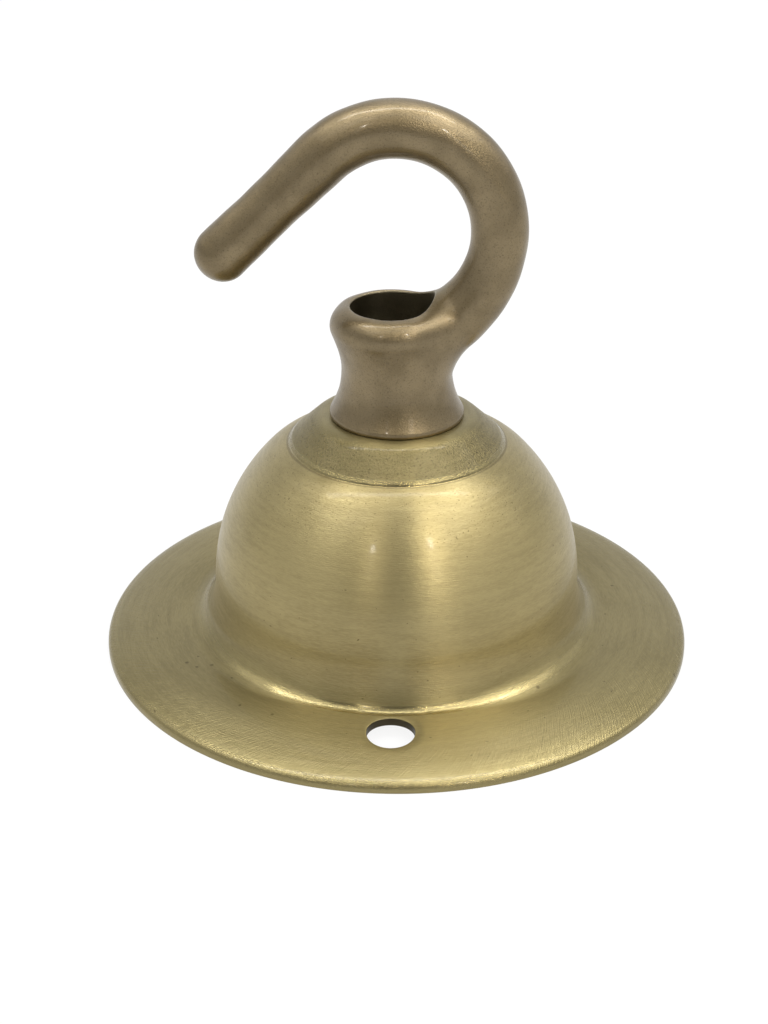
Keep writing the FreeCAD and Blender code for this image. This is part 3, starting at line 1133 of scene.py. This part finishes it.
@dataclass(frozen=True)
class BrushedBrass:
    """Satin antique brass, brushed round the axis.

    Rings are distances from the axis. Strokes are waves round the axis, waves in each millimetre and detail.
    Noises are scale, detail and roughness. Reliefs are depth and strength. A span is where a noise starts
    and stops to count, with the shares that it gives there.
    """

    light: Colour = (0.335, 0.279, 0.13, 1.0)
    dark: Colour = (0.267, 0.221, 0.1, 1.0)
    # Painted light: factor that makes the dome wall paler, in place of brighter reflections there.
    pale: Colour = (1.35, 1.335, 1.38, 1.0)
    # Colour of dark pits and marks; it also paints the shade line at the foot of the cap's step.
    pit: Colour = (0.09, 0.068, 0.03, 1.0)
    hole_wall: Colour = (0.06, 0.05, 0.03, 1.0)
    roughness: float = 0.37
    roughness_swing: float = 0.04
    cap_roughness: float = 0.16
    burnish: float = 0.2
    anisotropy: float = 0.86
    lacquer: float = 0.22
    lacquer_roughness: float = 0.1
    painted_light_heights: tuple[float, float, float, float] = (2.4, 5.5, 23.2, 23.6)
    cap_ring: tuple[float, float, float, float] = (8.2, 9.4, 11.2, 12.0)
    upper_ring: tuple[float, float, float, float] = (11.5, 12.5, 15.0, 19.0)
    flange_ring: tuple[float, float] = (25.0, 30.0)
    rim_ring: tuple[float, float] = (31.6, 32.4)
    hole_centre: float = 25.4
    hole_reach: tuple[float, float] = (2.56, 2.5)
    step_corner: tuple[float, float, float] = (12.06, 23.42, 0.0)
    step_bead: tuple[float, float, float] = (11.8, 23.65, 0.0)
    crease: tuple[float, float, float] = (22.05, 2.4, 0.0)
    corner_reach: tuple[float, float] = (0.24, 0.1)
    bead_reach: tuple[float, float] = (0.45, 0.3)
    crease_reach: tuple[float, float] = (0.75, 0.4)
    cap_darkening: float = 0.04
    painted_step_shade: float = 0.55
    rim_shine: float = 0.6
    slant_radius: float = 30.0
    slant: tuple[float, float] = (0.64, 0.77)
    slant_along: float = 0.5
    slant_across: float = 8.0
    fine_strokes: tuple[float, float, float] = (30.0, 8.0, 3.0)
    broad_strokes: tuple[float, float, float] = (4.0, 1.6, 2.0)
    fleck_strokes: tuple[float, float, float] = (45.0, 2.6, 1.0)
    short_strokes: tuple[float, float, float] = (70.0, 5.0, 1.0)
    slant_detail: float = 2.0
    cloud: tuple[float, float, float] = (0.12, 3.0, 0.5)
    grain: tuple[float, float, float] = (4.5, 2.0, 0.6)
    grit: tuple[float, float, float] = (9.0, 1.0, 0.5)
    tone_shares: tuple[float, float, float] = (0.4, 0.3, 0.3)
    tone_span: tuple[float, float] = (0.35, 0.65)
    rough_span: tuple[float, float] = (0.3, 0.7)
    fleck_span: tuple[float, float, float, float] = (0.75, 0.81, 0.0, 0.7)
    grain_span: tuple[float, float, float, float] = (0.56, 0.68, 0.0, 0.5)
    short_span: tuple[float, float, float, float] = (0.66, 0.74, 0.0, 0.7)
    speck_core: float = 0.4
    speck_share: float = 0.6
    speck_wobble: float = 0.25
    fine_relief: tuple[float, float] = (0.026, 0.9)
    slant_relief: tuple[float, float] = (0.05, 0.9)
    grit_relief: tuple[float, float] = (0.008, 0.5)
    cap_relief: tuple[float, float] = (0.15, 0.9)
    specks: Sequence[tuple[float, float, float]] = (
        (-22.55, -12.80, 0.28),
        (-21.51, -11.47, 0.20),
        (-19.77, -13.12, 0.26),
        (-21.35, -13.64, 0.22),
        (-17.32, -15.70, 0.16),
        (-15.91, -20.98, 0.22),
        (-12.38, -22.64, 0.26),
        (25.32, 5.48, 0.24),
        (23.93, -1.01, 0.18),
        (15.44, -16.81, 0.30),
        (30.63, -11.79, 0.20),
    )

    def make(self) -> bpy.types.Material:
        """Build the material: strokes round the axis, short flecks, dark pits, a grainy cap, a painted paler
        dome wall and a painted shade line at the cap's step.

        Returns:
            The material.
        """
        bench = NodeBench.of_material("brushed_brass_finish")
        place = bench.place()
        x, y, z = bench.parts(place)
        flat = bench.combine(x, y)
        out = bench.vector("LENGTH", flat)
        section = bench.combine(out, z)
        along = bench.less(out, z)
        safe = bench.most(out, 1.0)
        ring = bench.combine(bench.math("DIVIDE", x, safe), bench.math("DIVIDE", y, safe))

        def strokes(around_axis: float, across: float, detail: float) -> Socket:
            """Noise that is long round the axis and narrow across it.

            Args:
                around_axis: Waves round the axis.
                across: Waves in each millimetre across the strokes.
                detail: Number of finer layers.

            Returns:
                The noise.
            """
            spun = bench.vector("MULTIPLY", ring, (around_axis, around_axis, 0.0))
            rise = bench.combine(0.0, 0.0, bench.times(along, across))
            return bench.noise(bench.vector("ADD", spun, rise), 1.0, detail)

        def near(point: tuple[float, float, float], reach: tuple[float, float]) -> Socket:
            """One close to a point of the section, and nought far from it."""
            return bench.span(bench.vector("DISTANCE", section, point), *reach)

        fine = strokes(*self.fine_strokes)
        broad = strokes(*self.broad_strokes)
        flecks = strokes(*self.fleck_strokes)
        short = strokes(*self.short_strokes)
        cloud = bench.noise(place, *self.cloud)
        grain = bench.noise(place, *self.grain)
        grit = bench.noise(place, *self.grit)
        cap = bench.band(out, self.cap_ring)
        upper = bench.band(out, self.upper_ring)
        fine_share, broad_share, cloud_share = self.tone_shares
        tone = bench.plus(bench.times(fine, fine_share), bench.times(broad, broad_share))
        tone = bench.plus(tone, bench.times(cloud, cloud_share))
        colour = bench.blend(bench.span(tone, *self.tone_span), self.dark, self.light)
        # Painted light: the dome wall is multiplied paler between these heights, standing in for brighter
        # reflections.
        colour = bench.blend(bench.band(z, self.painted_light_heights), colour, self.pale, "MULTIPLY")
        dark_marks_and_shade = [
            bench.span(flecks, *self.fleck_span),
            bench.times(cap, bench.span(grain, *self.grain_span)),
            bench.times(upper, bench.span(short, *self.short_span)),
        ]
        wobble = bench.times(bench.less(grain, 0.5), self.speck_wobble)
        for speck_x, speck_y, radius in self.specks:
            reach = bench.plus(bench.vector("DISTANCE", flat, (speck_x, speck_y, 0.0)), wobble)
            dark_marks_and_shade.append(bench.span(reach, radius, self.speck_core * radius, 0.0, self.speck_share))
        # A slight darkening over the whole cap ring, in the pit colour.
        dark_marks_and_shade.append(bench.times(cap, self.cap_darkening))
        # Painted shade: a thin dark line in the pit colour at the foot of the cap's step.
        dark_marks_and_shade.append(bench.times(near(self.step_corner, self.corner_reach), self.painted_step_shade))
        for share in dark_marks_and_shade:
            colour = bench.blend(share, colour, self.pit)
        to_hole = bench.combine(x, bench.less(bench.math("ABSOLUTE", y), self.hole_centre))
        inside = bench.span(bench.vector("LENGTH", to_hole), *self.hole_reach)
        colour = bench.blend(inside, colour, self.hole_wall)
        lacquer = bench.times(bench.less(1.0, inside), self.lacquer)
        swing = self.roughness_swing
        rough = bench.span(tone, *self.rough_span, self.roughness + swing, self.roughness - swing)
        rough = bench.plus(rough, bench.times(cap, self.cap_roughness))
        shine = bench.most(near(self.crease, self.crease_reach), near(self.step_bead, self.bead_reach))
        shine = bench.most(shine, bench.span(out, *self.rim_ring, 0.0, self.rim_shine))
        rough = bench.between(shine, rough, self.burnish)
        turn = bench.math("ARCTAN2", x, bench.times(y, -1.0))
        arc_length = bench.times(turn, -self.slant_radius)
        cosine, sine = self.slant
        stroke = bench.plus(bench.times(arc_length, cosine), bench.times(out, sine))
        beside = bench.less(bench.times(out, cosine), bench.times(arc_length, sine))
        slant = bench.combine(bench.times(stroke, self.slant_along), bench.times(beside, self.slant_across))
        oblique = bench.times(bench.noise(slant, 1.0, self.slant_detail), bench.span(out, *self.flange_ring))
        normal = bench.bump(fine, *self.fine_relief)
        normal = bench.bump(oblique, *self.slant_relief, normal)
        normal = bench.bump(grit, *self.grit_relief, normal)
        normal = bench.bump(bench.times(cap, grain), *self.cap_relief, normal)
        return bench.metal(colour, rough, normal, lacquer, self.lacquer_roughness, self.anisotropy)


@dataclass(frozen=True)
class CastBrass:
    """Satin antique brass casting, finely pitted."""

    light: Colour = (0.27, 0.21, 0.119, 1.0)
    dark: Colour = (0.213, 0.164, 0.09, 1.0)
    pit: Colour = (0.06, 0.046, 0.026, 1.0)
    bore: Colour = (0.28, 0.245, 0.165, 1.0)
    roughness: float = 0.37
    roughness_swing: float = 0.04
    lacquer: float = 0.35
    lacquer_roughness: float = 0.1
    cloud: tuple[float, float, float] = (0.3, 4.0, 0.6)
    grain: tuple[float, float, float] = (6.0, 2.0, 0.7)
    pits_each_mm: float = 1.1
    cloud_span: tuple[float, float] = (0.3, 0.7)
    pit_span: tuple[float, float, float, float] = (0.12, 0.05, 0.0, 0.4)
    grain_span: tuple[float, float, float, float] = (0.5, 0.75, 0.0, 0.45)
    grain_relief: tuple[float, float] = (0.04, 0.8)

    def make(self) -> bpy.types.Material:
        """Build the material: clouded colour, fine grain and small dark pits.

        Returns:
            The material.
        """
        bench = NodeBench.of_material("cast_brass_finish")
        place = bench.place()
        in_bore = bench.marked("bore")
        cloud = bench.noise(place, *self.cloud)
        grain = bench.noise(place, *self.grain)
        pits = bench.span(bench.cells(place, self.pits_each_mm), *self.pit_span)
        colour = bench.blend(bench.span(cloud, *self.cloud_span), self.dark, self.light)
        colour = bench.blend(pits, colour, self.pit)
        colour = bench.blend(bench.span(grain, *self.grain_span), colour, self.pit)
        colour = bench.blend(in_bore, colour, self.bore)
        swing = self.roughness_swing
        rough = bench.span(cloud, *self.cloud_span, self.roughness + swing, self.roughness - swing)
        normal = bench.bump(grain, *self.grain_relief)
        lacquer = bench.times(bench.less(1.0, in_bore), self.lacquer)
        return bench.metal(colour, rough, normal, lacquer, self.lacquer_roughness)


@dataclass(frozen=True)
class TurnedBrass:
    """Plain turned brass of the hidden fixings."""

    name: str
    light: Colour = (0.56, 0.43, 0.17, 1.0)
    dark: Colour = (0.36, 0.26, 0.10, 1.0)
    bore_shade: Colour = (0.05, 0.04, 0.025, 1.0)
    bore_shade_heights: tuple[float, float] = (26.0, 27.0)
    roughness: float = 0.3
    dull: float = 0.12
    mark_scale: tuple[float, float, float] = (0.3, 0.3, 9.0)
    mark_detail: float = 2.0
    cloud: tuple[float, float, float] = (0.5, 3.0, 0.5)
    tone_shares: tuple[float, float] = (0.4, 0.6)
    tone_span: tuple[float, float] = (0.35, 0.65)
    rough_span: tuple[float, float] = (0.3, 0.7)
    mark_relief: tuple[float, float] = (0.02, 0.3)

    def make(self) -> bpy.types.Material:
        """Build the material: turning marks across the axis, and painted shade above the plate, where it
        stands in the hook's bore.

        Returns:
            The material.
        """
        bench = NodeBench.of_material(self.name)
        place = bench.place()
        height = bench.parts(place)[2]
        marks = bench.noise(bench.vector("MULTIPLY", place, self.mark_scale), 1.0, self.mark_detail)
        cloud = bench.noise(place, *self.cloud)
        mark_share, cloud_share = self.tone_shares
        tone = bench.plus(bench.times(marks, mark_share), bench.times(cloud, cloud_share))
        colour = bench.blend(bench.span(tone, *self.tone_span), self.dark, self.light)
        # Painted shade: nearly black above the plate, where the nipple stands deep in the hook's bore.
        colour = bench.blend(bench.span(height, *self.bore_shade_heights), colour, self.bore_shade)
        rough = bench.span(cloud, *self.rough_span, self.roughness + self.dull, self.roughness)
        return bench.metal(colour, rough, bench.bump(marks, *self.mark_relief))


# Stage

def heading_of(azimuth: float, elevation: float) -> Vector:
    """Unit vector from the object towards a place in the room.

    Args:
        azimuth: Degrees from the front, -Y, towards the right, +X.
        elevation: Degrees above the floor.

    Returns:
        The direction.
    """
    a, e = math.radians(azimuth), math.radians(elevation)
    return Vector((math.sin(a) * math.cos(e), -math.cos(a) * math.cos(e), math.sin(e)))


@dataclass
class Photographer:
    """Camera at the place from which the photograph was taken."""

    focal_pixels: float = 1700.0
    picture_height: float = 1024.0
    elevation: float = math.degrees(0.538148928)
    distance: float = 197.611
    aim_right: float = 12.566
    aim_up: float = 110.243
    roll: float = -0.16084
    azimuth: float = 1.2
    sensor: float = 36.0
    nearest: float = 0.005
    farthest: float = 50.0

    def build(self) -> bpy.types.Object:
        """Stand the camera on the line of sight and turn it to the frame of the photograph.

        Returns:
            The camera.
        """
        swing = math.radians(self.azimuth)
        back = heading_of(self.azimuth, self.elevation)
        right = Vector((math.cos(swing), math.sin(swing), 0.0))
        to_view = Matrix((right, back.cross(right), back))
        yaw = math.atan2(self.aim_right, self.focal_pixels)
        pitch = math.atan2(self.aim_up, math.hypot(self.focal_pixels, self.aim_right))
        turn = Matrix.Rotation(math.radians(self.roll), 3, "Z") @ Matrix.Rotation(-yaw, 3, "Y")
        turn = turn @ Matrix.Rotation(-pitch, 3, "X") @ to_view
        lens = bpy.data.cameras.new("photographer")
        lens.sensor_width = self.sensor
        lens.lens = self.focal_pixels * self.sensor / self.picture_height
        lens.clip_start = self.nearest
        lens.clip_end = self.farthest
        camera = bpy.data.objects.new("photographer", lens)
        camera.matrix_world = Matrix.Translation(back * self.distance * MM) @ turn.transposed().to_4x4()
        bpy.context.scene.collection.objects.link(camera)
        bpy.context.scene.camera = camera
        return camera


@dataclass(frozen=True)
class SoftBox:
    """Flat rectangular lamp that looks at the object."""

    name: str
    azimuth: float
    elevation: float
    distance: float
    width: float
    height: float
    radiance: float
    colour: tuple[float, float, float] = (1.0, 1.0, 1.0)

    def build(self, target: Vector) -> bpy.types.Object:
        """Place the lamp on a sphere round the target; its power is pi times area times radiance.

        Args:
            target: Point that the lamp looks at, in metres.

        Returns:
            The lamp.
        """
        lamp = bpy.data.lights.new(self.name, "AREA")
        lamp.shape = "RECTANGLE"
        lamp.size = self.width
        lamp.size_y = self.height
        lamp.energy = math.pi * self.width * self.height * self.radiance
        lamp.color = self.colour
        away = heading_of(self.azimuth, self.elevation)
        made = bpy.data.objects.new(self.name, lamp)
        made.location = target + away * self.distance
        made.rotation_euler = away.to_track_quat("Z", "Y").to_euler()
        bpy.context.scene.collection.objects.link(made)
        return made


@dataclass
class Studio:
    """Pale floor, soft lamps and the light of the room."""

    aim_height: float = 0.025
    floor_half: float = 3.0
    floor_lines: int = 9
    floor_colour: Colour = (0.9, 0.9, 0.9, 1.0)
    floor_shadow: float = 0.12
    floor_polish: float = 0.86
    room: float = 0.48
    front: float = 0.55
    back: float = 0.8
    backdrop_edge: tuple[float, float] = (0.4, 0.85)
    shade_azimuth: float = -10.0
    shade_elevation: float = 24.0
    shade_edges: tuple[float, float] = (34.0, 12.0)
    shade: float = 0.37
    boxes: Sequence[SoftBox] = field(default_factory=lambda: (
        SoftBox("left_window", -17.0, 33.0, 0.8, 0.05, 0.4, 2.0, (1.0, 0.92, 0.80)),
        SoftBox("right_window", 28.0, 32.0, 0.8, 0.09, 0.4, 3.4, (1.0, 0.92, 0.78)),
        SoftBox("left_bulb", -17.0, 38.0, 0.78, 0.018, 0.06, 75.0, (1.0, 0.95, 0.86)),
        SoftBox("right_bulb", 28.5, 40.0, 0.78, 0.024, 0.08, 65.0, (1.0, 0.95, 0.86)),
        SoftBox("front_ceiling", 14.0, 68.0, 0.9, 1.4, 0.2, 0.9, (1.0, 0.97, 0.90)),
        SoftBox("overhead", 184.0, 84.0, 0.9, 1.2, 0.1, 11.0),
        SoftBox("back_ceiling", 160.0, 58.0, 0.9, 0.7, 0.4, 0.7),
        SoftBox("left_side", -108.0, 32.0, 0.9, 0.5, 0.4, 0.25),
        SoftBox("right_side", 112.0, 30.0, 0.9, 0.6, 0.4, 0.45),
        SoftBox("left_wall", -80.0, 56.0, 0.9, 1.0, 0.5, 0.9, (1.0, 0.98, 0.92)),
        SoftBox("right_wall", 76.0, 56.0, 0.9, 1.0, 0.5, 1.9, (1.0, 0.97, 0.90)),
    ))

    def floor(self) -> bpy.types.Object:
        """Lay a grid plane under the object, which shows white to the lens and a little greyer to polish.

        Returns:
            The floor.
        """
        side = np.linspace(-self.floor_half, self.floor_half, self.floor_lines) / MM
        x, y = np.meshgrid(side, side)
        points = np.stack([x, y, 0.0 * x], axis=-1).reshape(-1, 3)
        number = np.arange(x.size).reshape(x.shape)
        corners = [number[:-1, :-1], number[:-1, 1:], number[1:, 1:], number[1:, :-1]]
        made = put_in_mesh("floor", points, np.stack(corners, axis=-1).reshape(-1, 4))
        bench = NodeBench.of_material("pale_floor")
        to_lens, polish = self.seen_by(bench)
        plain = bench.node("ShaderNodeBsdfDiffuse", self.floor_colour)
        glow = bench.node("ShaderNodeEmission", WHITE, bench.most(to_lens, self.floor_polish))
        share = bench.times(bench.most(to_lens, polish), 1.0 - self.floor_shadow)
        mix = bench.node("ShaderNodeMixShader", share, plain.outputs[0], glow.outputs[0])
        bench.node("ShaderNodeOutputMaterial", mix.outputs[0])
        made.data.materials.append(bench.material)
        return made

    @staticmethod
    def seen_by(bench: NodeBench) -> tuple[Socket, Socket]:
        """Whether the lens sees a place straight on, and whether it sees it in or through a piece.

        Args:
            bench: Where the nodes go.

        Returns:
            Two numbers, each nought or one.
        """
        path = bench.node("ShaderNodeLightPath").outputs
        return path["Is Camera Ray"], bench.most(path["Is Glossy Ray"], path["Is Transmission Ray"])

    def world(self) -> None:
        """Light the room evenly, white to the lens, with a pale backdrop and a shade for polish."""
        made = bpy.data.worlds.new("room")
        bpy.context.scene.world = made
        made.use_nodes = True
        bench = NodeBench(made.node_tree)
        to_lens, polish = self.seen_by(bench)
        direction = bench.node("ShaderNodeTexCoord").outputs["Generated"]
        backdrop = bench.span(bench.parts(direction)[1], *self.backdrop_edge, self.front, self.back)
        towards = tuple(heading_of(self.shade_azimuth, self.shade_elevation))
        facing = bench.vector("DOT_PRODUCT", direction, towards)
        shade_edges = (math.cos(math.radians(edge)) for edge in self.shade_edges)
        shade = bench.span(facing, *shade_edges, 0.0, self.shade)
        level = bench.between(polish, self.room, bench.less(backdrop, shade))
        sky = bench.node("ShaderNodeBackground", WHITE, bench.most(to_lens, level))
        bench.node("ShaderNodeOutputWorld", sky.outputs[0])

    def build(self) -> None:
        """Set up the floor, the room and the lamps."""
        self.floor()
        self.world()
        target = Vector((0.0, 0.0, self.aim_height))
        for box in self.boxes:
            box.build(target)


def main() -> None:
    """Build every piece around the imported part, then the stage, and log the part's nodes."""
    logging.basicConfig(level=logging.INFO, format="%(message)s")
    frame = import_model()
    LOG.info("nodes: %s", ", ".join(sorted(frame["nodes"])))
    bpy.context.scene.view_settings.view_transform = "Standard"
    pieces = (
        CeilingPlate(BrushedBrass().make()),
        Hook(CastBrass().make()),
        ThreadedNipple(TurnedBrass("nipple_brass_finish").make()),
        LockNut(TurnedBrass("nut_brass_finish").make()),
    )
    for piece in pieces:
        piece.dress(piece.build())
    Studio().build()
    Photographer().build()


if __name__ == "__main__":
    main()
